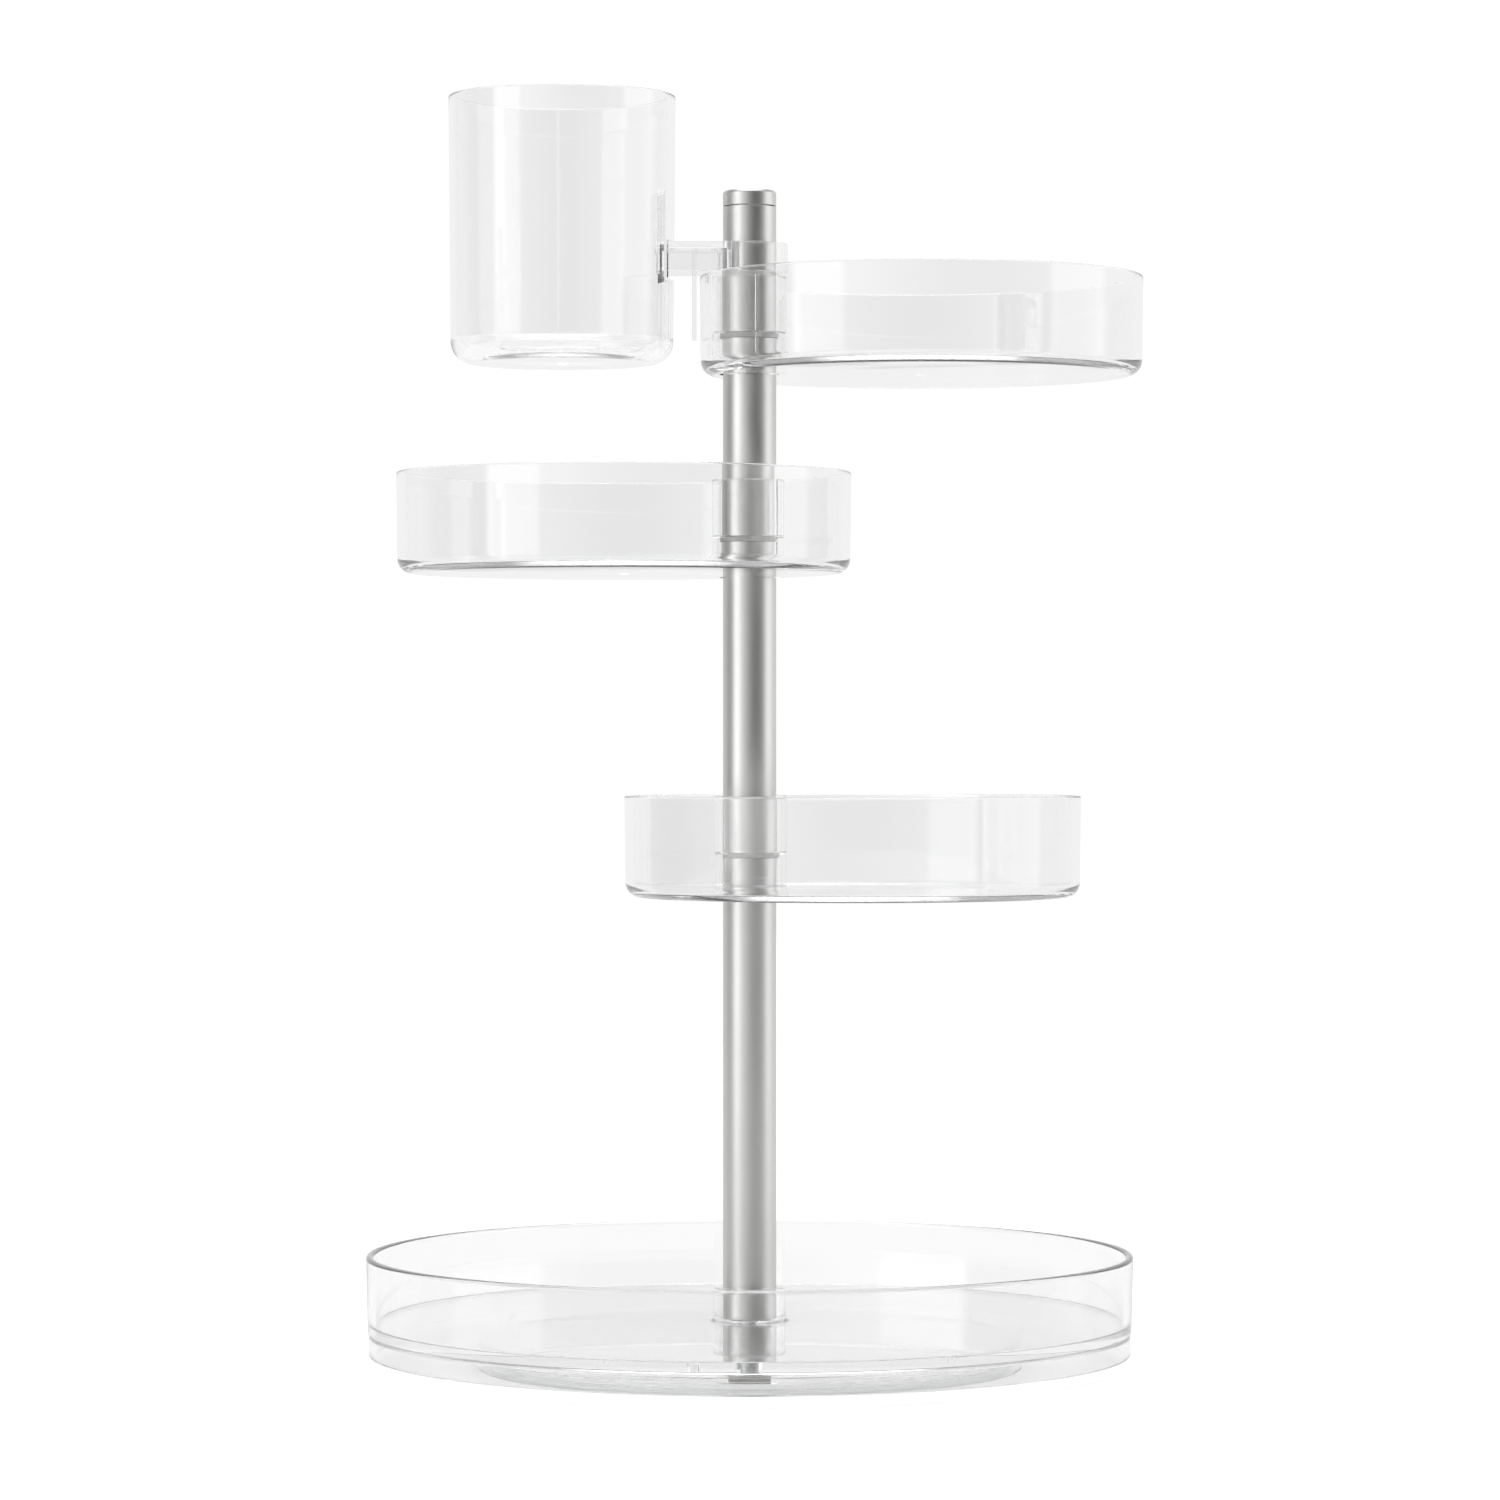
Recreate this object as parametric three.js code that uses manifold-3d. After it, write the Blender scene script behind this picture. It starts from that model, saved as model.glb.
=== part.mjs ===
// A tiered clear-plastic turntable: a round base tray on a lazy-susan foot, a metal pole through its middle,
// three round trays that swing about the pole and a tall cup on an arm above them.
// Millimetres, +Z up. The origin is on the pole's axis, on the surface that the foot stands on.
import * as THREE from "three";
import { mergeVertices } from "three/addons/utils/BufferGeometryUtils.js";
import Module from "manifold-3d";

const wasm = await Module();
wasm.setup();

// ---------- Driving dimensions ----------
const GAP = 0.3; // what touching pieces keep between them
const NIP = 0.1; // how far a cutter runs past the face that it cuts

const FOOT = { radius: 90, wall: 2.2, top: 5.9, skin: 2, edge: 0.3, hubRadius: 13, ribBottom: 0.8 };
const GRIP = { inner: 82, outer: 87.5, thick: 1.6, ribWall: 1.8 }; // the soft ring, and the rib inside it
const COVER = { thick: 0.5, spigotInner: 8.7, spigotTop: 2.1 }; // hides the screw from below
const BASE = {
  radius: 127,
  draft: 0.6,
  wall: 2.5,
  skirtBottom: 4.1,
  floorBottom: 11.3,
  floorTop: 14.4,
  rim: 36.9,
  fillet: 0.6, // inside, where the wall meets the floor
  skirtFillet: 1.5, // under the floor, where the skirt starts
  step: 0.3, // how far the skirt stands in from the wall above it
};
const BASE_COLLAR = { outer: 11.9, foot: 13.6, top: 25.7, bevel: 0.4 };
const GLIDES = { count: 5, circle: 81, firstDeg: -47.5 };
const GLIDE = { headRadius: 1.7, tipBevel: 0.6, stemRadius: 0.8, socketDepth: 1.5 };

const POLE = { radius: 8.87, wall: 1.2, top: 383.6 };
const CAP = { top: 389, rounding: 1.2, plugLength: 10 };
const CORE_RADIUS = 7.3; // the solid plugs inside the pole's tubes
const CORE_LENGTH = 14;
const CORE_END = 4; // the solid metal left beyond a blind bore
const SCREW_RADIUS = 3; // an M6 thread, drawn as a plain rod
const PIVOT = { bore: SCREW_RADIUS + GAP, shank: 7.1, flange: 9.9, flangeThick: 1.2 };
const HEAD = { radius: 5.5, bottom: 0.8, socketRadius: 2, socketDepth: 0.9 };
const WASHER = { radius: 9.6, thick: 1 };

const TRAY = {
  radius: 73.75,
  draft: 0.36,
  height: 32.8,
  wall: 2.6,
  floor: 2.5,
  corner: 4.8, // outside, below the wall
  fillet: 0.8, // inside, where the wall meets the floor
  offset: 57.4, // from the pole's axis to the tray's
};
const TRAY_COLLAR = { outer: 12.2, bore: 9.95, top: 13.4 };
const SLEEVE = { bore: 9.2, belowRim: 0.5 };
const TRAYS = [
  { name: "lower", bottom: 156.2, bearingDeg: -54.6 },
  { name: "middle", bottom: 260.8, bearingDeg: -135.2 },
  { name: "upper", bottom: 328.1, bearingDeg: 5.9 },
];

const CUP = {
  radius: 37.7, draft: 0.75, height: 88.7, wall: 2.3, floor: 3, corner: 7.3, fillet: 5.6, offset: 62.2,
};
const CUP_BOTTOM = 331.6;
const RIM_BEVEL = 0.5; // on the rims of the trays, the cup and the hubs
const ARM = { collarRadius: 12.6, bottom: 361.7, top: 371.4, width: 24, plate: 2.2, web: 1.8 };
const STOP = { x: -18.3, thick: 1.4, width: 14, bottom: 339.7 }; // hangs beside the upper tray's wall
const TONGUE = { thick: 2.3, width: 17, top: 388.8 }; // stands up inside the cup, behind its wall
const WINDOW = { bottom: 359.3, side: 0.4 };

const ROUND = { base: 56, foot: 48, vessel: 48, pole: 32, hub: 28, small: 16, stem: 10 }; // sides of each

const CLEAR = { color: 0xf1f5f5, roughness: 0.04, metalness: 0, transparent: true, opacity: 0.35 };
const NICKEL = { color: 0xb9b9b7, roughness: 0.32, metalness: 1 };
const ALUMINIUM = { color: 0xa9abad, roughness: 0.4, metalness: 1 };
const STEEL = { color: 0x8c8e90, roughness: 0.3, metalness: 1 };
const NATURAL_NYLON = { color: 0xeceae2, roughness: 0.45, metalness: 0 };
const CLEAR_SILICONE = { color: 0xe9ecec, roughness: 0.6, metalness: 0, transparent: true, opacity: 0.6 };

// ---------- Shapes ----------
const rad = THREE.MathUtils.degToRad;
const at = (x, z) => new THREE.Vector2(x, z);

function arc(x, z, radius, fromDeg, toDeg, steps) {
  const points = [];
  for (let i = 0; i <= steps; i += 1) {
    const a = rad(fromDeg + ((toDeg - fromDeg) * i) / steps);
    points.push(at(x + radius * Math.cos(a), z + radius * Math.sin(a)));
  }
  return points;
}

// Turns an outline of (radius, height) points about the Z axis. The outline runs anticlockwise.
function turned(outline, segments) {
  const closesOnAxis = outline[0].x === 0 && outline[outline.length - 1].x === 0;
  const points = closesOnAxis ? outline : [...outline, outline[0].clone()];
  return new THREE.LatheGeometry(points, segments).rotateX(Math.PI / 2);
}

function rod(radius, bottom, top, segments) {
  return turned([at(0, bottom), at(radius, bottom), at(radius, top), at(0, top)], segments);
}

function tube(inner, outer, bottom, top, segments, bevel = 0) {
  const end = bevel > 0 ? [at(outer, top - bevel), at(outer - bevel, top)] : [at(outer, top)];
  return turned([at(inner, bottom), at(outer, bottom), ...end, at(inner, top)], segments);
}

function block(x0, x1, y0, y1, z0, z1) {
  const box = new THREE.BoxGeometry(x1 - x0, y1 - y0, z1 - z0);
  return box.translate((x0 + x1) / 2, (y0 + y1) / 2, (z0 + z1) / 2);
}

function solid(geometry) {
  const bare = geometry.clone();
  bare.deleteAttribute("normal");
  bare.deleteAttribute("uv");
  const merged = mergeVertices(bare, 1e-4);
  const vertProperties = merged.attributes.position.array;
  const triVerts = new Uint32Array(merged.index.array);
  return new wasm.Manifold(new wasm.Mesh({ numProp: 3, vertProperties, triVerts }));
}

function geometryOf(body) {
  const made = body.getMesh();
  const geometry = new THREE.BufferGeometry();
  geometry.setAttribute("position", new THREE.BufferAttribute(made.vertProperties, 3));
  geometry.setIndex(new THREE.BufferAttribute(made.triVerts, 1));
  geometry.computeVertexNormals();
  return geometry;
}

function piece(name, geometry, finish) {
  const mesh = new THREE.Mesh(geometry, new THREE.MeshStandardMaterial(finish));
  mesh.name = name;
  return mesh;
}

function bearing(radius, deg, z = 0) {
  return new THREE.Vector3(radius * Math.cos(rad(deg)), radius * Math.sin(rad(deg)), z);
}

// ---------- The foot ----------
const FOOT_UNDER = FOOT.top - FOOT.skin;

// A shallow disc with a wall round it, a rib inside that for the soft ring and a hub round the pivot.
function footDisc() {
  const hubBore = PIVOT.shank + GAP;
  const hubInner = PIVOT.flange + GAP;
  const ribOuter = GRIP.inner - GAP;
  const ribInner = ribOuter - GRIP.ribWall;
  const wallInner = FOOT.radius - FOOT.wall;
  const outline = [
    at(wallInner, 0),
    at(FOOT.radius, 0),
    ...arc(FOOT.radius - FOOT.edge, FOOT.top - FOOT.edge, FOOT.edge, 0, 90, 2),
    at(hubBore, FOOT.top),
    at(hubBore, FOOT_UNDER),
    at(hubInner, FOOT_UNDER),
    at(hubInner, FOOT.ribBottom),
    at(FOOT.hubRadius, FOOT.ribBottom),
    at(FOOT.hubRadius, FOOT_UNDER),
    at(ribInner, FOOT_UNDER),
    at(ribInner, FOOT.ribBottom),
    at(ribOuter, FOOT.ribBottom),
    at(ribOuter, FOOT_UNDER),
    at(wallInner, FOOT_UNDER),
  ];
  return piece("foot_disc", turned(outline, ROUND.foot), CLEAR);
}

function footGripRing() {
  return piece("foot_grip_ring", tube(GRIP.inner, GRIP.outer, 0, GRIP.thick, ROUND.foot), CLEAR_SILICONE);
}

// A disc flush with the foot's underside, with a spigot that goes up inside the hub.
function footCover() {
  const outline = [
    at(0, 0),
    at(FOOT.hubRadius, 0),
    at(FOOT.hubRadius, COVER.thick),
    at(PIVOT.flange, COVER.thick),
    at(PIVOT.flange, COVER.spigotTop),
    at(COVER.spigotInner, COVER.spigotTop),
    at(COVER.spigotInner, COVER.thick),
    at(0, COVER.thick),
  ];
  return piece("foot_cover", turned(outline, ROUND.hub), CLEAR);
}

// ---------- The pivot ----------
const FLANGE_TOP = FOOT_UNDER - GAP;
const FLANGE_BOTTOM = FLANGE_TOP - PIVOT.flangeThick;

function pivotBush() {
  const outline = [
    at(PIVOT.bore, FLANGE_BOTTOM),
    at(PIVOT.flange, FLANGE_BOTTOM),
    at(PIVOT.flange, FLANGE_TOP),
    at(PIVOT.shank, FLANGE_TOP),
    at(PIVOT.shank, BASE.floorBottom - GAP),
    at(PIVOT.bore, BASE.floorBottom - GAP),
  ];
  return piece("pivot_bush", turned(outline, ROUND.hub), NATURAL_NYLON);
}

// The screw that clamps the bush, the base tray and the pole together, with a hexagon socket in its head.
function clampScrew() {
  const outline = [
    at(0, HEAD.bottom),
    at(HEAD.radius, HEAD.bottom),
    at(HEAD.radius, FLANGE_BOTTOM - GAP),
    at(SCREW_RADIUS, FLANGE_BOTTOM - GAP),
    at(SCREW_RADIUS, BASE.floorTop + CORE_LENGTH),
    at(0, BASE.floorTop + CORE_LENGTH),
  ];
  const socket = rod(HEAD.socketRadius, HEAD.bottom - NIP, HEAD.bottom + HEAD.socketDepth, 6);
  return piece("clamp_screw", geometryOf(solid(turned(outline, ROUND.small)).subtract(solid(socket))), STEEL);
}

// ---------- The base tray ----------
function glidePlaces() {
  const places = [];
  for (let i = 0; i < GLIDES.count; i += 1) {
    places.push(bearing(GLIDES.circle, GLIDES.firstDeg - (360 / GLIDES.count) * i));
  }
  return places;
}

// One turned shape: a skirt, a floor, a wall with a rounded rim, and a collar that the pole stands in.
function baseTray() {
  const narrow = BASE.radius - BASE.draft;
  const inner = narrow - BASE.wall;
  const rimRadius = BASE.wall / 2;
  const outline = [
    at(PIVOT.bore, BASE.floorBottom),
    at(inner - BASE.skirtFillet, BASE.floorBottom),
    at(inner, BASE.floorBottom - BASE.skirtFillet),
    at(inner, BASE.skirtBottom),
    at(narrow - BASE.step, BASE.skirtBottom),
    at(narrow - BASE.step, BASE.floorBottom),
    at(narrow, BASE.floorBottom),
    ...arc(BASE.radius - rimRadius, BASE.rim - rimRadius, rimRadius, 0, 180, 4),
    ...arc(inner - BASE.fillet, BASE.floorTop + BASE.fillet, BASE.fillet, 0, -90, 2),
    at(BASE_COLLAR.foot, BASE.floorTop),
    at(BASE_COLLAR.outer, BASE.floorTop + BASE_COLLAR.foot - BASE_COLLAR.outer),
    at(BASE_COLLAR.outer, BASE_COLLAR.top - BASE_COLLAR.bevel),
    at(BASE_COLLAR.outer - BASE_COLLAR.bevel, BASE_COLLAR.top),
    at(POLE.radius + GAP, BASE_COLLAR.top),
    at(POLE.radius + GAP, BASE.floorTop),
    at(PIVOT.bore, BASE.floorTop),
  ];
  const socketTop = BASE.floorBottom + GLIDE.socketDepth;
  const socket = solid(rod(GLIDE.stemRadius + GAP, BASE.floorBottom - NIP, socketTop, ROUND.stem));
  const sockets = glidePlaces().map((place) => socket.translate(place.x, place.y, 0));
  const tray = sockets.reduce((body, cutter) => body.subtract(cutter), solid(turned(outline, ROUND.base)));
  return piece("base_tray", geometryOf(tray), CLEAR);
}

// Small studs under the base tray that run on the top of the foot.
function glide(place, number) {
  const outline = [
    at(0, FOOT.top + GAP),
    at(GLIDE.headRadius - GLIDE.tipBevel, FOOT.top + GAP),
    at(GLIDE.headRadius, FOOT.top + GAP + GLIDE.tipBevel),
    at(GLIDE.headRadius, BASE.floorBottom - GAP),
    at(GLIDE.stemRadius, BASE.floorBottom - GAP),
    at(GLIDE.stemRadius, BASE.floorBottom + GLIDE.socketDepth - GAP),
    at(0, BASE.floorBottom + GLIDE.socketDepth - GAP),
  ];
  const stud = piece(`glide_${number}`, turned(outline, ROUND.small), CLEAR);
  stud.position.copy(place);
  return stud;
}

// ---------- The pole ----------
const seamOf = (tray) => tray.bottom + TRAY_COLLAR.top;
const SEAMS = TRAYS.map(seamOf);
const CLAMP = WASHER.thick + 2 * GAP; // the room between two tubes for a washer

function poleTube(number, bottom, top) {
  const geometry = tube(POLE.radius - POLE.wall, POLE.radius, bottom, top, ROUND.pole);
  return piece(`pole_tube_${number}`, geometry, NICKEL);
}

function poleTubes() {
  const bottoms = [BASE.floorTop + GAP, ...SEAMS];
  const tops = [...SEAMS.map((seam) => seam - CLAMP), POLE.top];
  return bottoms.map((bottom, i) => poleTube(i + 1, bottom, tops[i]));
}

// The plug in the pole's foot, bored for the clamp screw.
function poleFootPlug() {
  const bottom = BASE.floorTop + GAP;
  const boreTop = BASE.floorTop + CORE_LENGTH + GAP;
  const top = boreTop + CORE_END;
  const outline = [
    at(SCREW_RADIUS + GAP, bottom),
    at(CORE_RADIUS, bottom),
    at(CORE_RADIUS, top),
    at(0, top),
    at(0, boreTop),
    at(SCREW_RADIUS + GAP, boreTop),
  ];
  return piece("pole_foot_plug", turned(outline, ROUND.small), ALUMINIUM);
}

// At each seam: a stud in the tube below, a washer that carries the tray and a bored plug in the tube above.
function poleJoint(name, seam) {
  const shoulder = seam - CLAMP;
  const reach = seam + CORE_LENGTH - CORE_END;
  const stud = [
    at(0, shoulder - CORE_LENGTH),
    at(CORE_RADIUS, shoulder - CORE_LENGTH),
    at(CORE_RADIUS, shoulder),
    at(SCREW_RADIUS, shoulder),
    at(SCREW_RADIUS, reach),
    at(0, reach),
  ];
  const plug = [
    at(SCREW_RADIUS + GAP, seam),
    at(CORE_RADIUS, seam),
    at(CORE_RADIUS, seam + CORE_LENGTH),
    at(0, seam + CORE_LENGTH),
    at(0, reach + GAP),
    at(SCREW_RADIUS + GAP, reach + GAP),
  ];
  const washer = tube(SCREW_RADIUS + GAP, WASHER.radius, seam - GAP - WASHER.thick, seam - GAP, ROUND.hub);
  return [
    piece(`${name}_pole_stud`, turned(stud, ROUND.small), ALUMINIUM),
    piece(`${name}_pole_washer`, washer, NATURAL_NYLON),
    piece(`${name}_pole_plug`, turned(plug, ROUND.small), ALUMINIUM),
  ];
}

function poleCap() {
  const bottom = POLE.top + GAP;
  const outline = [
    at(0, POLE.top - CAP.plugLength),
    at(CORE_RADIUS, POLE.top - CAP.plugLength),
    at(CORE_RADIUS, bottom),
    at(POLE.radius, bottom),
    ...arc(POLE.radius - CAP.rounding, CAP.top - CAP.rounding, CAP.rounding, 0, 90, 3),
    at(0, CAP.top),
  ];
  return piece("pole_cap", turned(outline, ROUND.pole), NICKEL);
}

// ---------- The swinging trays ----------
// A round vessel standing on z = 0, with a rounded bottom edge, leaning walls and a softened rim.
function vessel({ radius, draft, height, wall, floor, corner, fillet }) {
  const narrow = radius - draft;
  const inside = narrow - wall;
  const edge = RIM_BEVEL;
  const outline = [
    at(0, 0),
    ...arc(narrow - corner, corner, corner, -90, 0, 3),
    at(radius, height - edge),
    at(radius - edge, height),
    at(radius - wall + edge, height),
    at(radius - wall, height - edge),
    ...arc(inside - fillet, floor + fillet, fillet, 0, -90, 2),
    at(0, floor),
  ];
  return solid(turned(outline, ROUND.vessel));
}

// The collar stands on the tray's floor, and the pole's bore goes through both.
function tray({ name, bottom, bearingDeg }) {
  const collarTop = TRAY_COLLAR.top - GAP / 2;
  const collar = solid(rod(TRAY_COLLAR.outer, TRAY.floor / 2, collarTop, ROUND.hub));
  const bore = solid(rod(TRAY_COLLAR.bore, -NIP, TRAY.height, ROUND.hub));
  const shell = vessel(TRAY).translate(TRAY.offset, 0, 0);
  const mesh = piece(`${name}_tray`, geometryOf(shell.add(collar).subtract(bore)), CLEAR);
  mesh.position.set(0, 0, bottom);
  mesh.rotation.set(0, 0, rad(bearingDeg));
  return mesh;
}

// The upper part of the tray's hub, whose lower end rests on the pole's washer.
function traySleeve({ name, bottom }) {
  const low = TRAY_COLLAR.top + GAP / 2;
  const top = TRAY.height - SLEEVE.belowRim;
  const geometry = tube(SLEEVE.bore, TRAY_COLLAR.outer, low, top, ROUND.hub, RIM_BEVEL);
  const mesh = piece(`${name}_tray_sleeve`, geometry, CLEAR);
  mesh.position.set(0, 0, bottom);
  return mesh;
}

// ---------- The cup and its arm ----------
const CUP_CENTRE_X = -CUP.offset;

// The cup's outer radius and inner radius at a height above the ground.
const cupOuter = (z) => CUP.radius - CUP.draft * (1 - (z - CUP_BOTTOM) / CUP.height);
const cupInner = (z) => cupOuter(z) - CUP.wall;

function aboutCup(geometry) {
  return solid(geometry.translate(CUP_CENTRE_X, 0, 0));
}

function cup() {
  const half = ARM.width / 2 + WINDOW.side;
  const window = solid(block(-CUP.offset, 0, -half, half, WINDOW.bottom, ARM.top + GAP));
  const body = vessel(CUP).translate(CUP_CENTRE_X, 0, CUP_BOTTOM);
  return piece("cup", geometryOf(body.subtract(window)), CLEAR);
}

// The collar on the pole, a channel-shaped arm, the stop and the tongue that the cup hangs on.
function cupArm() {
  const half = ARM.width / 2;
  const tongueOuter = cupInner(ARM.bottom) - GAP;
  const tongueInner = tongueOuter - TONGUE.thick;
  const tongueHalf = TONGUE.width / 2;
  const armEnd = CUP_CENTRE_X + tongueInner + TONGUE.thick / 2;
  const plateBottom = ARM.top - ARM.plate;

  const plate = solid(block(armEnd, 0, -half, half, plateBottom, ARM.top));
  const nearWeb = solid(block(armEnd, 0, -half, -half + ARM.web, ARM.bottom, ARM.top));
  const farWeb = solid(block(armEnd, 0, half - ARM.web, half, ARM.bottom, ARM.top));
  const hollow = aboutCup(rod(tongueInner, ARM.bottom - NIP, TONGUE.top + NIP, ROUND.vessel));
  const ring = aboutCup(tube(tongueInner, tongueOuter, ARM.bottom, TONGUE.top, ROUND.vessel));
  const slab = solid(block(CUP_CENTRE_X, 0, -tongueHalf, tongueHalf, ARM.bottom, TONGUE.top));

  const stopX = [STOP.x - STOP.thick / 2, STOP.x + STOP.thick / 2];
  const stop = solid(block(...stopX, -STOP.width / 2, STOP.width / 2, STOP.bottom, plateBottom + NIP));
  const collar = solid(tube(SLEEVE.bore, ARM.collarRadius, ARM.bottom, ARM.top, ROUND.hub, RIM_BEVEL));
  const bore = solid(rod(SLEEVE.bore, ARM.bottom - NIP, ARM.top + NIP, ROUND.hub));

  const channel = plate.add(nearWeb).add(farWeb).subtract(hollow);
  const tongue = ring.intersect(slab);
  const body = channel.add(tongue).add(stop).subtract(bore).add(collar);
  return piece("cup_arm", geometryOf(body), CLEAR);
}

// ---------- The assembly ----------
const organiser = new THREE.Group();
organiser.add(footDisc(), footGripRing(), footCover(), pivotBush(), clampScrew(), baseTray());
organiser.add(...glidePlaces().map((place, i) => glide(place, i + 1)));
organiser.add(...poleTubes(), poleFootPlug(), poleCap());
organiser.add(...TRAYS.flatMap((one) => poleJoint(one.name, seamOf(one))));
organiser.add(...TRAYS.flatMap((one) => [tray(one), traySleeve(one)]));
organiser.add(cupArm(), cup());

export default organiser;
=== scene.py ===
"""Looks for a tiered clear-plastic turntable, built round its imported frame.

Metres, +Z up; outlines are in millimetres.
"""

import math

import bmesh
import bpy
from mathutils import Matrix, Vector


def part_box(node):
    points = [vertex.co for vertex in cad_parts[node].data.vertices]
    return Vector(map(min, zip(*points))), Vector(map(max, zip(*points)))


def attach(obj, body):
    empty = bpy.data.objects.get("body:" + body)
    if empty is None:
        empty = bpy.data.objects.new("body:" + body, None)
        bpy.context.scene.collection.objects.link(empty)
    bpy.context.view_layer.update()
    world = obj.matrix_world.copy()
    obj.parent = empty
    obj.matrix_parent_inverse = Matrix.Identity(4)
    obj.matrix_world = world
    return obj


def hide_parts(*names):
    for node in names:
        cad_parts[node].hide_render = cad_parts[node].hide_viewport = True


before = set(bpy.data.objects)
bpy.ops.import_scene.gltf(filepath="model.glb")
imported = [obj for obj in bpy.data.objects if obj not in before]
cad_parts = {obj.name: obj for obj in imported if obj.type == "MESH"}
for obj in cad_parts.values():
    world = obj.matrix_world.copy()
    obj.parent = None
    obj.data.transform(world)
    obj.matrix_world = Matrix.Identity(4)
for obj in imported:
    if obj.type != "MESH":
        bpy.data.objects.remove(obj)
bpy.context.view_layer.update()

# ---------- Driving dimensions, in millimetres ----------
MM = 0.001
GAP = 0.3  # what neighbouring pieces keep between them
EDGE = 0.3  # the rounding or chamfer of a plain edge
PAST = 1  # how far a cutter runs past what it cuts through
NIP = 0.1  # how far a blind socket's cutter starts below the face
SIDES = 192  # sides of a large round shape
HUB_SIDES = 96  # sides of a hub, a tube or a screw
STUD_SIDES = 32  # sides of a glide
HEXAGON = 6

FOOT = dict(radius=90, wall=2.2, top=5.9, skin=2, edge=0.3, hub=13, rib_bottom=0.8)
GRIP = dict(inner=82, outer=87.5, thick=1.6, rib=1.8)
COVER = dict(thick=0.5, edge=0.2, inner=8.7, top=2.1)
BASE = dict(
    radius=127, draft=0.6, wall=2.5, rim=36.9, fillet=0.6, chamfer=0.15,
    floor_top=14.4, floor_bottom=11.3,
)
SKIRT = dict(bottom=4.1, step=0.3, groove=0.3, fillet=1.5)
BASE_COLLAR = dict(outer=11.9, foot=13.6, top=25.7, rounding=0.5)
GLIDE = dict(count=5, radius=1.7, tip=0.6, stem=0.8, socket=1.5)
PIVOT = dict(bore=3.3, shank=7.1, flange=9.9, flange_thick=1.2)
SCREW = dict(radius=3, tip=0.5, head=5.5, head_bottom=0.8, socket=2, socket_deep=0.9)
POLE = dict(tubes=4, radius=8.87, wall=1.2, edge=0.12, cap_round=1.2, core=7.3, plug=10)
WASHER_GAP = 0.05  # what a pole washer keeps from the faces that it holds
TRAY = dict(radius=73.75, draft=0.36, height=32.8, wall=2.6, floor=2.5, corner=4.8, fillet=0.8)
HUB = dict(outer=12.2, collar_bore=9.95, collar_top=13.4, sleeve_bore=9.2, below_rim=0.5, edge=0.2)
PARTING = dict(radius=0.5, proud=0.4, bearing=-83)  # degrees from the way the tray points
CUP = dict(
    radius=37.7, draft=0.75, height=88.7, wall=2.3, floor=3, corner=7.3, fillet=5.6,
    bottom=331.6, offset=62.2,
)
RIM_ROUNDING = 0.6  # of the trays' and the cup's rims
GATE = dict(radius=1.6, deep=0.3)  # the moulding mark under the middle of a vessel
SEAM = dict(radius=0.5, proud=0.42, below_rim=5)  # the moulding line up the front of the cup
ARM = dict(collar=12.6, bottom=361.7, top=371.4, width=24, plate=2.2, web=1.8, edge=0.25)
STOP = dict(x=-18.3, thick=1.4, width=14, bottom=339.7)
TONGUE = dict(thick=2.3, width=17, top=388.8)
WINDOW = dict(bottom=359.3, side=0.4)
TRAY_NAMES = ("lower", "middle", "upper")


# ---------- Shapes ----------
def arc(x, z, radius, start, end, steps):
    """Points of (radius, height) along an arc, in degrees."""
    angles = [math.radians(start + (end - start) * i / steps) for i in range(steps + 1)]
    return [(x + radius * math.cos(a), z + radius * math.sin(a)) for a in angles]


def ring_of(mesh, r, z, sides, centre):
    """The corners of a turned solid at one point of its outline, which are one corner on its axis."""
    x, y = centre
    if r == 0:
        return [mesh.verts.new((x * MM, y * MM, z * MM))] * sides
    turns = [2 * math.pi * i / sides for i in range(sides)]
    return [mesh.verts.new(((x + r * math.cos(a)) * MM, (y + r * math.sin(a)) * MM, z * MM)) for a in turns]


def turned(name, outline, sides=HUB_SIDES, centre=(0, 0)):
    """A closed solid turned about a vertical axis from an anticlockwise outline in millimetres."""
    mesh = bmesh.new()
    rings = [ring_of(mesh, r, z, sides, centre) for r, z in outline]
    pairs = list(zip(rings, rings[1:]))
    starts_on_axis = outline[0][0] == 0
    if not starts_on_axis:
        pairs.append((rings[-1], rings[0]))
    for low, high in pairs:
        for i in range(sides):
            k = (i + 1) % sides
            corners = [low[i], low[k], high[k], high[i]]
            face = list(dict.fromkeys(corners))
            if len(face) > 2:
                mesh.faces.new(face)
    return made(name, mesh)


def rod(name, radius, bottom, top, sides=HUB_SIDES, centre=(0, 0)):
    return turned(name, [(0, bottom), (radius, bottom), (radius, top), (0, top)], sides, centre)


def tube(name, inner, outer, bottom, top, sides=HUB_SIDES, centre=(0, 0)):
    return turned(name, [(inner, bottom), (outer, bottom), (outer, top), (inner, top)], sides, centre)


def block(name, x, y, z):
    """A box between two corners, in millimetres."""
    mesh = bmesh.new()
    bmesh.ops.create_cube(mesh, size=1)
    size = [(b - a) * MM for a, b in (x, y, z)]
    middle = Vector([(a + b) / 2 * MM for a, b in (x, y, z)])
    mesh.transform(Matrix.Translation(middle) @ Matrix.Diagonal((*size, 1)))
    return made(name, mesh)


def made(name, mesh):
    """Puts a finished bmesh into the scene as a piece."""
    data = bpy.data.meshes.new(name)
    mesh.to_mesh(data)
    mesh.free()
    piece = bpy.data.objects.new(name, data)
    bpy.context.scene.collection.objects.link(piece)
    return piece


def middle_of(node):
    """Where a CAD node's middle is, seen from above."""
    low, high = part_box(node)
    return ((low.x + high.x) / 2 / MM, (low.y + high.y) / 2 / MM)


def heights_of(node):
    """The heights of a CAD node's lower and upper end."""
    low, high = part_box(node)
    return low.z / MM, high.z / MM


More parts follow.
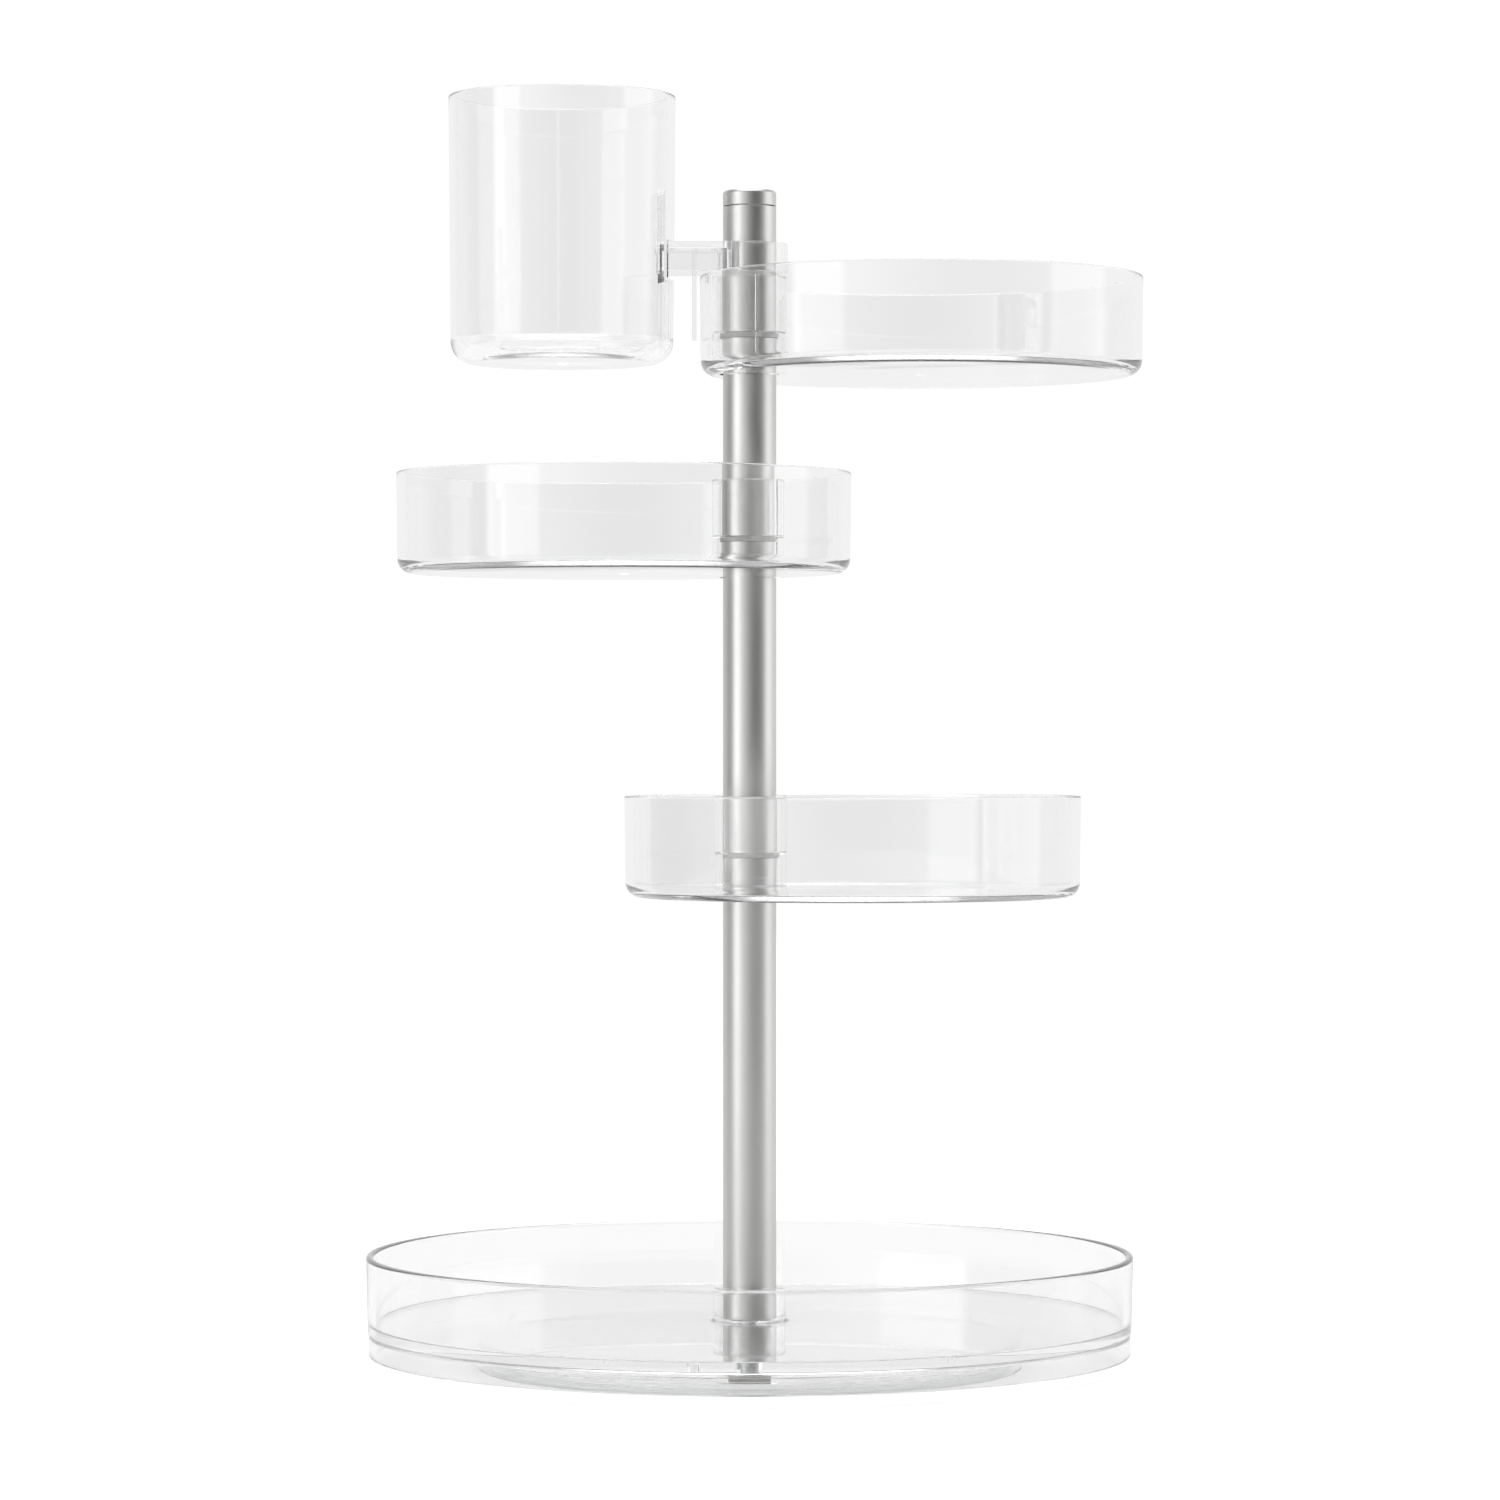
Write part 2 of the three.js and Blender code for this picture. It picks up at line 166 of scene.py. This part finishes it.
def apply_modifiers(piece):
    graph = bpy.context.evaluated_depsgraph_get()
    shape = piece.evaluated_get(graph)
    data = bpy.data.meshes.new_from_object(shape, preserve_all_data_layers=True, depsgraph=graph)
    piece.modifiers.clear()
    old = piece.data
    piece.data = data
    bpy.data.meshes.remove(old)
    data.name = piece.name


def combine(piece, other, operation):
    """Joins, cuts or keeps what is common, and uses up the other piece."""
    modifier = piece.modifiers.new("combine", "BOOLEAN")
    modifier.object = other
    modifier.operation = operation
    modifier.solver = "MANIFOLD"
    apply_modifiers(piece)
    bpy.data.objects.remove(other)
    return piece


def bevelled(piece, width, segments=3, angle=40):
    """Rounds every edge that turns by more than an angle in degrees."""
    modifier = piece.modifiers.new("edges", "BEVEL")
    modifier.width = width * MM
    modifier.segments = segments
    modifier.limit_method = "ANGLE"
    modifier.angle_limit = math.radians(angle)
    modifier.harden_normals = False
    apply_modifiers(piece)


def smoothed(piece, angle=28, weight=80):
    """Smooth shading that keeps flat faces flat and hard edges hard."""
    piece.data.shade_smooth()
    piece.data.set_sharp_from_angle(angle=math.radians(angle))
    modifier = piece.modifiers.new("normals", "WEIGHTED_NORMAL")
    modifier.keep_sharp = True
    modifier.weight = weight
    apply_modifiers(piece)


def dressed(piece, material, body, slot, *nodes):
    """Gives a finished piece its material and body, and hides the CAD nodes that it stands for. The slot is
    not used.
    """
    smoothed(piece)
    piece.data.materials.clear()
    piece.data.materials.append(material)
    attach(piece, body)
    for node in nodes:
        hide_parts(node)


# ---------- Materials ----------
def new_material(name):
    material = bpy.data.materials.new(name)
    material.use_nodes = True
    tree = material.node_tree
    return material, tree, tree.nodes["Principled BSDF"]


def noise(tree, scale, stretch=(1, 1, 1), detail=3.0):
    """Noise in object space, in features per metre, stretched along the axes."""
    place = tree.nodes.new("ShaderNodeTexCoord")
    mapping = tree.nodes.new("ShaderNodeMapping")
    mapping.inputs["Scale"].default_value = stretch
    texture = tree.nodes.new("ShaderNodeTexNoise")
    texture.inputs["Scale"].default_value = scale
    texture.inputs["Detail"].default_value = detail
    tree.links.new(place.outputs["Object"], mapping.inputs["Vector"])
    tree.links.new(mapping.outputs["Vector"], texture.inputs["Vector"])
    return texture.outputs["Fac"]


def bump(tree, shader, height, strength, distance):
    node = tree.nodes.new("ShaderNodeBump")
    node.inputs["Strength"].default_value = strength
    node.inputs["Distance"].default_value = distance
    tree.links.new(height, node.inputs["Height"])
    tree.links.new(node.outputs["Normal"], shader.inputs["Normal"])


def roughen(tree, shader, cloud, low, high):
    """Varies the roughness with a cloud of noise."""
    node = tree.nodes.new("ShaderNodeMapRange")
    node.inputs["To Min"].default_value = low
    node.inputs["To Max"].default_value = high
    tree.links.new(cloud, node.inputs["Value"])
    tree.links.new(node.outputs["Result"], shader.inputs["Roughness"])


def tint(tree, shader, cloud, dark, light):
    """Varies the base colour with a cloud of noise."""
    node = tree.nodes.new("ShaderNodeMix")
    node.data_type = "RGBA"  # its colours are inputs 6 and 7 and output 2
    node.inputs[6].default_value = (*dark, 1)
    node.inputs[7].default_value = (*light, 1)
    tree.links.new(cloud, node.inputs[0])
    tree.links.new(node.outputs[2], shader.inputs["Base Color"])


def clear_plastic():
    """Clear styrene, which darkens slightly with depth."""
    material, tree, shader = new_material("clear_plastic")
    shader.inputs["Transmission Weight"].default_value = 1
    shader.inputs["IOR"].default_value = 1.5
    tint(tree, shader, noise(tree, 9), (0.978, 0.979, 0.979), (0.991, 0.992, 0.992))
    roughen(tree, shader, noise(tree, 60), 0.0, 0.012)
    bump(tree, shader, noise(tree, 30, detail=1.0), 0.04, 0.0004)
    depth = tree.nodes.new("ShaderNodeVolumeAbsorption")
    depth.inputs["Color"].default_value = (0.64, 0.65, 0.65, 1)
    depth.inputs["Density"].default_value = 1
    tree.links.new(depth.outputs["Volume"], tree.nodes["Material Output"].inputs["Volume"])
    return material


def satin_nickel():
    """Metal with a fine grain along the pole."""
    material, tree, shader = new_material("satin_nickel")
    shader.inputs["Metallic"].default_value = 1
    grain = noise(tree, 1, stretch=(2600, 2600, 60), detail=4.0)
    tint(tree, shader, noise(tree, 40), (0.62, 0.622, 0.61), (0.66, 0.662, 0.65))
    roughen(tree, shader, grain, 0.32, 0.42)
    bump(tree, shader, grain, 0.05, 0.00005)
    return material


def plain_metal(name, dark, light, roughness, spread=0.06):
    material, tree, shader = new_material(name)
    shader.inputs["Metallic"].default_value = 1
    tint(tree, shader, noise(tree, 300), dark, light)
    roughen(tree, shader, noise(tree, 900), roughness - spread, roughness + spread)
    return material


def natural_nylon():
    material, tree, shader = new_material("natural_nylon")
    shader.inputs["Subsurface Weight"].default_value = 0.3
    shader.inputs["Subsurface Radius"].default_value = (0.004, 0.004, 0.003)
    shader.inputs["Subsurface Scale"].default_value = 0.5
    tint(tree, shader, noise(tree, 200), (0.83, 0.83, 0.80), (0.88, 0.88, 0.85))
    roughen(tree, shader, noise(tree, 700), 0.38, 0.5)
    bump(tree, shader, noise(tree, 2500), 0.1, 0.0001)
    return material


def clear_silicone():
    material, tree, shader = new_material("clear_silicone")
    shader.inputs["Transmission Weight"].default_value = 1
    shader.inputs["IOR"].default_value = 1.41
    tint(tree, shader, noise(tree, 120), (0.88, 0.9, 0.9), (0.94, 0.95, 0.95))
    roughen(tree, shader, noise(tree, 800), 0.16, 0.26)
    return material


CLEAR = clear_plastic()
NICKEL = satin_nickel()
ALUMINIUM = plain_metal("aluminium_core", (0.62, 0.63, 0.64), (0.7, 0.71, 0.72), 0.35)
STEEL = plain_metal("screw_steel", (0.68, 0.69, 0.7), (0.78, 0.79, 0.8), 0.5)
NYLON = natural_nylon()
SILICONE = clear_silicone()


# ---------- The foot ----------
FOOT_UNDER = FOOT["top"] - FOOT["skin"]


def foot():
    foot_disc()
    ring = tube("soft_grip_ring", GRIP["inner"], GRIP["outer"], 0, GRIP["thick"], SIDES)
    dressed(ring, SILICONE, "foot", "clear_silicone", "foot_grip_ring")
    foot_cover()


def foot_disc():
    """A shallow clear disc, hollow below, with a hub in its middle and a rib inside the soft ring."""
    radius, top, edge, low = FOOT["radius"], FOOT["top"], FOOT["edge"], FOOT["rib_bottom"]
    wall = radius - FOOT["wall"]
    rib_outer = GRIP["inner"] - GAP
    rib_inner = rib_outer - GRIP["rib"]
    bore = PIVOT["shank"] + GAP
    flange_room = PIVOT["flange"] + GAP
    disc = turned("clear_foot_disc", [
        (wall, 0), *arc(radius - EDGE, EDGE, EDGE, -90, 0, 4),
        *arc(radius - edge, top - edge, edge, 0, 90, 8),
        (bore, top), (bore, FOOT_UNDER), (flange_room, FOOT_UNDER), (flange_room, low),
        (FOOT["hub"], low), (FOOT["hub"], FOOT_UNDER), (rib_inner, FOOT_UNDER), (rib_inner, low),
        (rib_outer, low), (rib_outer, FOOT_UNDER), (wall, FOOT_UNDER),
    ], SIDES)
    dressed(disc, CLEAR, "foot", "clear_plastic", "foot_disc")


def foot_cover():
    """The flat cover under the hub, with a spigot that stands inside it."""
    hub, thick, edge = FOOT["hub"], COVER["thick"], COVER["edge"]
    spigot, inner, top = PIVOT["flange"], COVER["inner"], COVER["top"]
    cover = turned("clear_foot_cover", [
        (0, 0), (hub - edge, 0), (hub, edge), (hub, thick), (spigot, thick),
        (spigot, top), (inner, top), (inner, thick), (0, thick),
    ])
    dressed(cover, CLEAR, "foot", "clear_plastic", "foot_cover")


# ---------- The pivot ----------
FLANGE_TOP = FOOT_UNDER - GAP
FLANGE_BOTTOM = FLANGE_TOP - PIVOT["flange_thick"]


def pivot_bush():
    """The flanged bush that the base turns on."""
    bore, shank, flange = PIVOT["bore"], PIVOT["shank"], PIVOT["flange"]
    shank_top = BASE["floor_bottom"] - GAP
    bush = turned("nylon_pivot_bush", [
        (bore, FLANGE_BOTTOM), (flange, FLANGE_BOTTOM), (flange, FLANGE_TOP),
        (shank, FLANGE_TOP), (shank, shank_top), (bore, shank_top),
    ])
    dressed(bush, NYLON, "base", "natural_nylon", "pivot_bush")


def clamp_screw():
    """The screw with a hexagon socket that clamps the bush and the base to the pole."""
    top = heights_of("clamp_screw")[1]
    shank, tip, head, bottom = SCREW["radius"], SCREW["tip"], SCREW["head"], SCREW["head_bottom"]
    screw = turned("steel_clamp_screw", [
        (0, bottom), (head - EDGE, bottom), (head, bottom + EDGE), (head, FLANGE_BOTTOM - GAP),
        (shank, FLANGE_BOTTOM - GAP), (shank, top - tip), (shank - tip, top), (0, top),
    ])
    hexagon = rod("hexagon", SCREW["socket"], bottom - PAST, bottom + SCREW["socket_deep"], HEXAGON)
    combine(screw, hexagon, "DIFFERENCE")
    dressed(screw, STEEL, "base", "screw_steel", "clamp_screw")


# ---------- The base tray and its glides ----------
def base_tray():
    """A skirt, a floor, a wall with a rounded rim and a collar round the pole, all one turned shape."""
    narrow = BASE["radius"] - BASE["draft"]
    inner = narrow - BASE["wall"]
    rim = BASE["wall"] / 2
    fillet, chamfer, floor, under = BASE["fillet"], BASE["chamfer"], BASE["floor_top"], BASE["floor_bottom"]
    skirt, step, groove, under_fillet = SKIRT["bottom"], SKIRT["step"], SKIRT["groove"], SKIRT["fillet"]
    bore = POLE["radius"] + GAP
    collar, collar_foot, collar_top = BASE_COLLAR["outer"], BASE_COLLAR["foot"], BASE_COLLAR["top"]
    root = collar_foot - collar
    rounding = BASE_COLLAR["rounding"]
    tray = turned("clear_base_tray", [
        (PIVOT["bore"], under),
        *arc(inner - under_fillet, under - under_fillet, under_fillet, 90, 0, 6),
        *arc(inner + EDGE, skirt + EDGE, EDGE, 180, 270, 4),
        *arc(narrow - step - EDGE, skirt + EDGE, EDGE, -90, 0, 4),
        (narrow - step, under - groove), (narrow - 2 * step, under - groove), (narrow - 2 * step, under),
        (narrow - chamfer, under), (narrow, under + chamfer),
        *arc(BASE["radius"] - rim, BASE["rim"] - rim, rim, 0, 180, 16),
        *arc(inner - fillet, floor + fillet, fillet, 0, -90, 12),
        *arc(collar_foot, floor + root, root, -90, -180, 6),
        *arc(collar - rounding, collar_top - rounding, rounding, 0, 90, 4),
        (bore, collar_top), (bore, floor), (PIVOT["bore"], floor),
    ], SIDES)
    for number in range(1, GLIDE["count"] + 1):
        node = f"glide_{number}"
        place = middle_of(node)
        socket = rod("socket", GLIDE["stem"] + GAP, under - NIP, under + GLIDE["socket"], centre=place)
        combine(tray, socket, "DIFFERENCE")
        glide(node, place)
    dressed(tray, CLEAR, "base", "clear_plastic", "base_tray")


def glide(node, place):
    """A small stud under the floor, with a rounded tip that runs on the foot."""
    bottom, top = heights_of(node)
    shoulder = BASE["floor_bottom"] - GAP
    radius, tip, stem = GLIDE["radius"], GLIDE["tip"], GLIDE["stem"]
    stud = turned(f"clear_{node}", [
        (0, bottom), *arc(radius - tip, bottom + tip, tip, -90, 0, 6),
        (radius, shoulder), (stem, shoulder), (stem, top), (0, top),
    ], STUD_SIDES, place)
    dressed(stud, CLEAR, "base", "clear_plastic", node)


# ---------- The pole ----------
def pole_tube(node):
    outer, edge = POLE["radius"], POLE["edge"]
    inner = outer - POLE["wall"]
    bottom, top = heights_of(node)
    piece = turned(f"metal_{node}", [
        (inner, bottom), (outer - edge, bottom), (outer, bottom + edge),
        (outer, top - edge), (outer - edge, top), (inner, top),
    ])
    dressed(piece, NICKEL, "base", "satin_nickel", node)


def pole_cap():
    """The cap, with a rounded top and a plug that goes down into the last tube."""
    outer, edge, curve, core = POLE["radius"], POLE["edge"], POLE["cap_round"], POLE["core"]
    bottom, top = heights_of("pole_cap")
    seam = bottom + POLE["plug"] + GAP
    cap = turned("metal_pole_cap", [
        (0, bottom), (core, bottom), (core, seam), (outer - edge, seam), (outer, seam + edge),
        *arc(outer - curve, top - curve, curve, 0, 90, 10), (0, top),
    ])
    dressed(cap, NICKEL, "base", "satin_nickel", "pole_cap")


def pole_washer(node):
    """A washer at a seam in the pole, which the tray's sleeve rests on."""
    bottom, top = heights_of(node)
    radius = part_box(node)[1].x / MM
    taller = GAP - WASHER_GAP
    washer = tube(f"nylon_{node}", PIVOT["bore"], radius, bottom - taller, top + taller)
    dressed(washer, NYLON, "base", "natural_nylon", node)


def pole():
    for number in range(1, POLE["tubes"] + 1):
        pole_tube(f"pole_tube_{number}")
    pole_cap()
    for name in TRAY_NAMES:
        pole_washer(f"{name}_pole_washer")


# ---------- The swinging trays ----------
def vessel(name, size, bottom, centre):
    """A round vessel with a rounded bottom edge, leaning walls and a rounded rim."""
    radius, wall, top, edge = size["radius"], size["wall"], size["height"], RIM_ROUNDING
    corner, floor, fillet = size["corner"], size["floor"], size["fillet"]
    narrow = radius - size["draft"]
    inside = narrow - wall
    outline = [
        (0, GATE["deep"]), (GATE["radius"], GATE["deep"]), (GATE["radius"], 0),
        *arc(narrow - corner, corner, corner, -90, 0, 16),
        *arc(radius - edge, top - edge, edge, 0, 90, 6),
        *arc(radius - wall + edge, top - edge, edge, 90, 180, 6),
        *arc(inside - fillet, floor + fillet, fillet, 0, -90, 12),
        (0, floor),
    ]
    return turned(name, [(r, z + bottom) for r, z in outline], SIDES, centre)


def parting_line(piece, name, low, high):
    """Adds the half-round lines down both sides of a hub, where the mould's halves met."""
    x, y = middle_of(f"{name}_tray")
    turn = math.atan2(y, x) + math.radians(PARTING["bearing"])
    reach = HUB["outer"] + PARTING["proud"] - PARTING["radius"]
    for side in (-1, 1):
        place = (side * reach * math.cos(turn), side * reach * math.sin(turn))
        combine(piece, rod("parting_line", PARTING["radius"], low, high, centre=place), "UNION")


def swing_tray(name):
    """A round tray with a collar on its floor, bored for the pole."""
    node = f"{name}_tray"
    bottom = heights_of(node)[0]
    tray = vessel(f"clear_{node}", TRAY, bottom, middle_of(node))
    sunk = bottom + TRAY["floor"] / 2
    top = bottom + HUB["collar_top"] - GAP / 2
    outer, edge = HUB["outer"], HUB["edge"]
    collar = turned("collar", [(0, sunk), (outer, sunk), (outer, top - edge), (outer - edge, top), (0, top)])
    parting_line(collar, name, bottom + TRAY["floor"], top - edge)
    combine(tray, collar, "UNION")
    combine(tray, rod("hole", HUB["collar_bore"], bottom - PAST, top + PAST), "DIFFERENCE")
    dressed(tray, CLEAR, f"{name}_swing_tray", "clear_plastic", node)


def tray_sleeve(name):
    """The upper part of a tray's hub, above the seam."""
    node = f"{name}_tray"
    bottom = heights_of(node)[0]
    low = bottom + HUB["collar_top"] + GAP / 2
    high = bottom + TRAY["height"] - HUB["below_rim"]
    inner, outer, edge = HUB["sleeve_bore"], HUB["outer"], HUB["edge"]
    sleeve = turned(f"clear_{node}_sleeve", [
        (inner, low), (outer - edge, low), (outer, low + edge),
        *arc(outer - edge, high - edge, edge, 0, 90, 4), (inner, high),
    ])
    parting_line(sleeve, name, low + edge, high - edge)
    dressed(sleeve, CLEAR, f"{name}_swing_tray", "clear_plastic", f"{node}_sleeve")


# ---------- The cup and its arm ----------
CUP_CENTRE = (-CUP["offset"], 0)


def cup_inner(z):
    """The radius of the inside of the cup's wall at a height."""
    return CUP["radius"] - CUP["draft"] * (1 - (z - CUP["bottom"]) / CUP["height"]) - CUP["wall"]


TONGUE_OUTER = cup_inner(ARM["bottom"]) - GAP
TONGUE_INNER = TONGUE_OUTER - TONGUE["thick"]


def cup():
    """The cup, with a window in its wall that the arm goes through."""
    body = vessel("clear_cup", CUP, CUP["bottom"], CUP_CENTRE)
    half = ARM["width"] / 2 + WINDOW["side"]
    window = block("window", (-CUP["offset"], 0), (-half, half), (WINDOW["bottom"], ARM["top"] + GAP))
    combine(body, window, "DIFFERENCE")
    combine(body, mould_line(), "UNION")
    dressed(body, CLEAR, "side_cup", "clear_plastic", "cup")


def mould_line():
    """The fine half-round line that the mould's two halves leave up the front, outside the wall."""
    low = CUP["bottom"] + CUP["corner"]
    high = CUP["bottom"] + CUP["height"] - SEAM["below_rim"]
    line = rod("mould_line", SEAM["radius"], low, high, centre=CUP_CENTRE)
    sunk = CUP["wall"] + SEAM["proud"] - SEAM["radius"]
    lean = (cup_inner(high) - cup_inner(low)) / (high - low)
    for vertex in line.data.vertices:
        vertex.co.y -= (cup_inner(low) + sunk) * MM + lean * (vertex.co.z - low * MM)
    return line


def arm_channel():
    """A plate from the pole to the cup, with a web down each side and the stop tab below it."""
    half, bottom, top = ARM["width"] / 2, ARM["bottom"], ARM["top"]
    end = TONGUE_INNER + TONGUE["thick"] / 2 - CUP["offset"]
    channel = block("clear_cup_arm", (end, 0), (-half, half), (top - ARM["plate"], top))
    for side in (-1, 1):
        edges = sorted((side * half, side * (half - ARM["web"])))
        combine(channel, block("web", (end, 0), edges, (bottom, top)), "UNION")
    stop_x = (STOP["x"] - STOP["thick"] / 2, STOP["x"] + STOP["thick"] / 2)
    stop_y = (-STOP["width"] / 2, STOP["width"] / 2)
    combine(channel, block("stop", stop_x, stop_y, (STOP["bottom"], top - ARM["plate"] / 2)), "UNION")
    return channel


def tongue():
    """The curved strip at the arm's end that stands up inside the cup's wall."""
    bottom, top, half = ARM["bottom"], TONGUE["top"], TONGUE["width"] / 2
    strip = tube("tongue", TONGUE_INNER, TONGUE_OUTER, bottom, top, SIDES, CUP_CENTRE)
    slab = block("slab", (-CUP["offset"], 0), (-half, half), (bottom, top))
    return combine(strip, slab, "INTERSECT")


def cup_arm():
    """The channel, the tongue and the collar round the pole, all one piece."""
    bottom, top = ARM["bottom"], ARM["top"]
    arm = arm_channel()
    hollow = rod("hollow", TONGUE_INNER, bottom - PAST, top + PAST, SIDES, CUP_CENTRE)
    combine(arm, hollow, "DIFFERENCE")
    combine(arm, tongue(), "UNION")
    combine(arm, rod("collar", ARM["collar"], bottom, top), "UNION")
    combine(arm, rod("hole", HUB["sleeve_bore"], bottom - PAST, top + PAST), "DIFFERENCE")
    bevelled(arm, ARM["edge"])
    dressed(arm, CLEAR, "side_cup", "clear_plastic", "cup_arm")


# ---------- CAD nodes that stay ----------
def keep_cores():
    """The plugs and studs inside the pole stay as they are, with a machined finish."""
    cores = ["pole_foot_plug"] + [f"{name}_pole_{kind}" for name in TRAY_NAMES for kind in ("stud", "plug")]
    for node in cores:
        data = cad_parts[node].data
        data.materials.clear()
        data.materials.append(ALUMINIUM)


# ---------- Stage, light and camera ----------
NEAR_FLOOR, FAR_FLOOR = 1.1, 4.0  # metres; the far ring doesn't show in reflections
FLOOR_THICK = 4  # millimetres
FLOOR_SHADE, FLOOR_GLOW = 0.5, 0.33  # the floor is a light table, so shadows on it are pale
SEEN_SHADE, SEEN_GLOW = 0.45, 0.6  # the same, where the camera sees it straight on
SEEN_WHITE = 1.05  # the backdrop, where the camera sees it straight on
BACKDROP = 0.9  # the backdrop, where the plastic sees it
AROUND = [  # what reflections see at each bearing in degrees, from the front, positive to the right
    (-180, BACKDROP), (-150, BACKDROP), (-125, 0.8), (-98, 0.35), (-74, 0.35),
    (-70, 2.2), (-44, 2.2), (-41, 1.2),  # the left panel
    (-20, 0.8), (0, 0.35), (14, 0.12), (40, 0.1), (58, 0.3), (68, 0.5),  # the dark front
    (71, 1.5), (107, 1.5), (110, 0.9),  # the right panel
    (150, BACKDROP), (180, BACKDROP),
]
BRIGHTEST = 4  # what the top of the ramp stands for
WALL_TOP = (28, 40)  # degrees above level between which the panels give way to a dim band
DIM = 0.3
LAMP_EDGE = (58, 64)  # degrees between which the dim band gives way to the overhead lamp
LAMP = 3.7
LENS, SENSOR = 131.4, 36
EYE = (0.00013, -1.8158, 0.2066)  # metres
DOWN = 0.094  # degrees that the camera looks down
NEAREST, FARTHEST = 0.05, 50  # metres that it sees between
BOUNCES, DIFFUSE_BOUNCES = 32, 4  # light goes through many walls of clear plastic
BLUR_GLOSSY = 0.3  # against noise


class Nodes:
    """Short calls for building a shader's maths."""

    def __init__(self, tree):
        self.tree = tree

    def maths(self, operation, *values):
        node = self.tree.nodes.new("ShaderNodeMath")
        node.operation = operation
        for socket, value in zip(node.inputs, values):
            self.feed(socket, value)
        return node.outputs[0]

    def feed(self, socket, value):
        if isinstance(value, (int, float)):
            socket.default_value = value
        else:
            self.tree.links.new(value, socket)

    def step(self, value, low, high):
        """0 below low and 1 above high, smooth between."""
        node = self.tree.nodes.new("ShaderNodeMapRange")
        node.interpolation_type = "SMOOTHSTEP"
        node.inputs["From Min"].default_value = low
        node.inputs["From Max"].default_value = high
        self.tree.links.new(value, node.inputs["Value"])
        return node.outputs["Result"]

    def mix(self, share, first, second):
        """The first value where the share is 0, the second where it is 1."""
        node = self.tree.nodes.new("ShaderNodeMix")
        self.feed(node.inputs[0], share)
        self.feed(node.inputs[2], first)
        self.feed(node.inputs[3], second)
        return node.outputs[0]


def floor_white():
    """A matt white that glows, though not onto matt surfaces."""
    material, tree, shader = new_material("floor_white")
    nodes = Nodes(tree)
    rays = tree.nodes.new("ShaderNodeLightPath")
    straight = rays.outputs["Is Camera Ray"]
    shade = nodes.mix(straight, FLOOR_SHADE, SEEN_SHADE)
    tree.links.new(shade, shader.inputs["Base Color"])
    shader.inputs["Emission Color"].default_value = (1, 1, 1, 1)
    glow = nodes.mix(rays.outputs["Is Diffuse Ray"], nodes.mix(straight, FLOOR_GLOW, SEEN_GLOW), 0.0)
    tree.links.new(glow, shader.inputs["Emission Strength"])
    shader.inputs["Roughness"].default_value = 0.9
    shader.inputs["Specular IOR Level"].default_value = 0
    return material


def stage():
    near, far = NEAR_FLOOR / MM, FAR_FLOOR / MM
    floor = rod("floor", near, -FLOOR_THICK, 0)
    ring = tube("floor_beyond", near, far, -FLOOR_THICK, 0)
    ring.visible_glossy = False
    material = floor_white()
    for part in (floor, ring):
        part.data.materials.append(material)


def panels(tree, nodes, turn):
    """The brightness round the room, by a bearing in radians."""
    share = nodes.maths("ADD", nodes.maths("DIVIDE", turn, 2 * math.pi), 0.5)
    ramp = tree.nodes.new("ShaderNodeValToRGB")
    tree.links.new(share, ramp.inputs[0])
    stops = ramp.color_ramp.elements
    stops.remove(stops[1])
    stops[0].position = 0
    for i, (degrees, level) in enumerate(AROUND):
        stop = stops[0] if i == 0 else stops.new((degrees + 180) / 360)
        grey = level / BRIGHTEST
        stop.color = (grey, grey, grey, 1)
    return nodes.maths("MULTIPLY", ramp.outputs[0], BRIGHTEST)


def rises(angles):
    """The Z of unit directions at angles in degrees above level."""
    return [math.sin(math.radians(degrees)) for degrees in angles]


def room():
    """The light, by direction: panels and backdrop round the room, a dim band and a lamp above.

    Below the dim band, light with a glossy reflection behind it meets the panels, and the rest the backdrop.
    """
    world = bpy.data.worlds.new("room")
    bpy.context.scene.world = world
    world.use_nodes = True
    tree = world.node_tree
    nodes = Nodes(tree)
    place = tree.nodes.new("ShaderNodeTexCoord")
    parts = tree.nodes.new("ShaderNodeSeparateXYZ")
    tree.links.new(place.outputs["Generated"], parts.inputs[0])
    turn = nodes.maths("ARCTAN2", parts.outputs["X"], nodes.maths("MULTIPLY", parts.outputs["Y"], -1.0))
    rays = tree.nodes.new("ShaderNodeLightPath")
    reflected = nodes.maths("GREATER_THAN", rays.outputs["Glossy Depth"], 0.5)
    around = nodes.mix(reflected, BACKDROP, panels(tree, nodes, turn))
    height = parts.outputs["Z"]
    dim = nodes.mix(nodes.step(height, *rises(WALL_TOP)), around, DIM)
    lit = nodes.mix(nodes.step(height, *rises(LAMP_EDGE)), dim, LAMP)
    seen = nodes.mix(rays.outputs["Is Camera Ray"], lit, SEEN_WHITE)
    tree.links.new(seen, tree.nodes["Background"].inputs["Strength"])
    tree.nodes["Background"].inputs["Color"].default_value = (1, 1, 1, 1)


def camera():
    data = bpy.data.cameras.new("camera")
    data.lens = LENS
    data.sensor_width = SENSOR
    data.clip_start = NEAREST
    data.clip_end = FARTHEST
    viewer = bpy.data.objects.new("camera", data)
    viewer.location = EYE
    viewer.rotation_euler = (math.radians(90 - DOWN), 0, 0)
    bpy.context.scene.collection.objects.link(viewer)
    bpy.context.scene.camera = viewer


def picture():
    scene = bpy.context.scene
    scene.view_settings.view_transform = "Standard"
    scene.cycles.max_bounces = BOUNCES
    scene.cycles.transmission_bounces = BOUNCES
    scene.cycles.glossy_bounces = BOUNCES
    scene.cycles.diffuse_bounces = DIFFUSE_BOUNCES
    scene.cycles.blur_glossy = BLUR_GLOSSY


camera()
stage()
room()
picture()
foot()
pivot_bush()
clamp_screw()
base_tray()
pole()
for tray_name in TRAY_NAMES:
    swing_tray(tray_name)
    tray_sleeve(tray_name)
cup()
cup_arm()
keep_cores()
